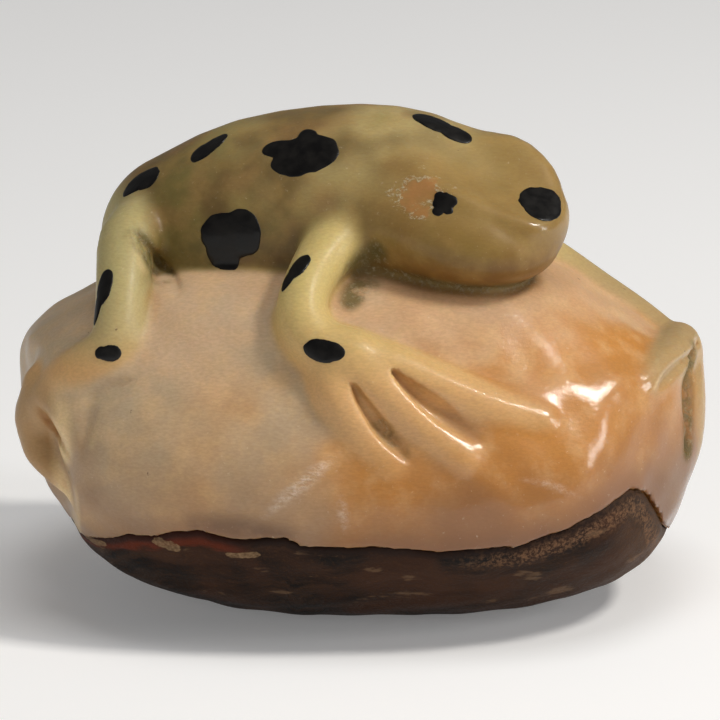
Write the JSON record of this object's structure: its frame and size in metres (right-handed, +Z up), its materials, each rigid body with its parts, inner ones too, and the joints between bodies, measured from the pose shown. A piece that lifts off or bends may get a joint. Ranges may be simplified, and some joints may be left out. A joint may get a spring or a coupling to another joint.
{
  "type": "carved nut frog figurine",
  "caption": "Plump spotted frog crouching on a boulder, hand carved and polished from one palm nut, with brown nut skin left on the underside.",
  "frame": {"origin": "centre of the small flat foot on the underside, on the resting plane", "axes": "+X along the nut towards the frog's head end, -Y out of the frog's right side, +Z up"},
  "size_m": [0.0556, 0.0388, 0.0396],
  "materials": {
    "nut_kernel": "polished",
    "seed_coat": "satin",
    "black_paint": "gloss"
  },
  "bodies": {
    "root": {"carved_kernel": "nut_kernel", "seed_coat": "seed_coat", "snout_spot": "black_paint", "right_eye_spot": "black_paint", "left_eye_spot": "black_paint", "nape_spot": "black_paint", "large_back_spot": "black_paint", "small_back_spot": "black_paint", "rump_spot": "black_paint", "right_flank_spot": "black_paint", "right_thigh_spot": "black_paint", "right_ankle_spot": "black_paint", "right_arm_spot": "black_paint", "right_elbow_spot": "black_paint", "left_back_spot": "black_paint", "left_flank_spot": "black_paint", "left_thigh_spot": "black_paint"}
  },
  "joints": []
}
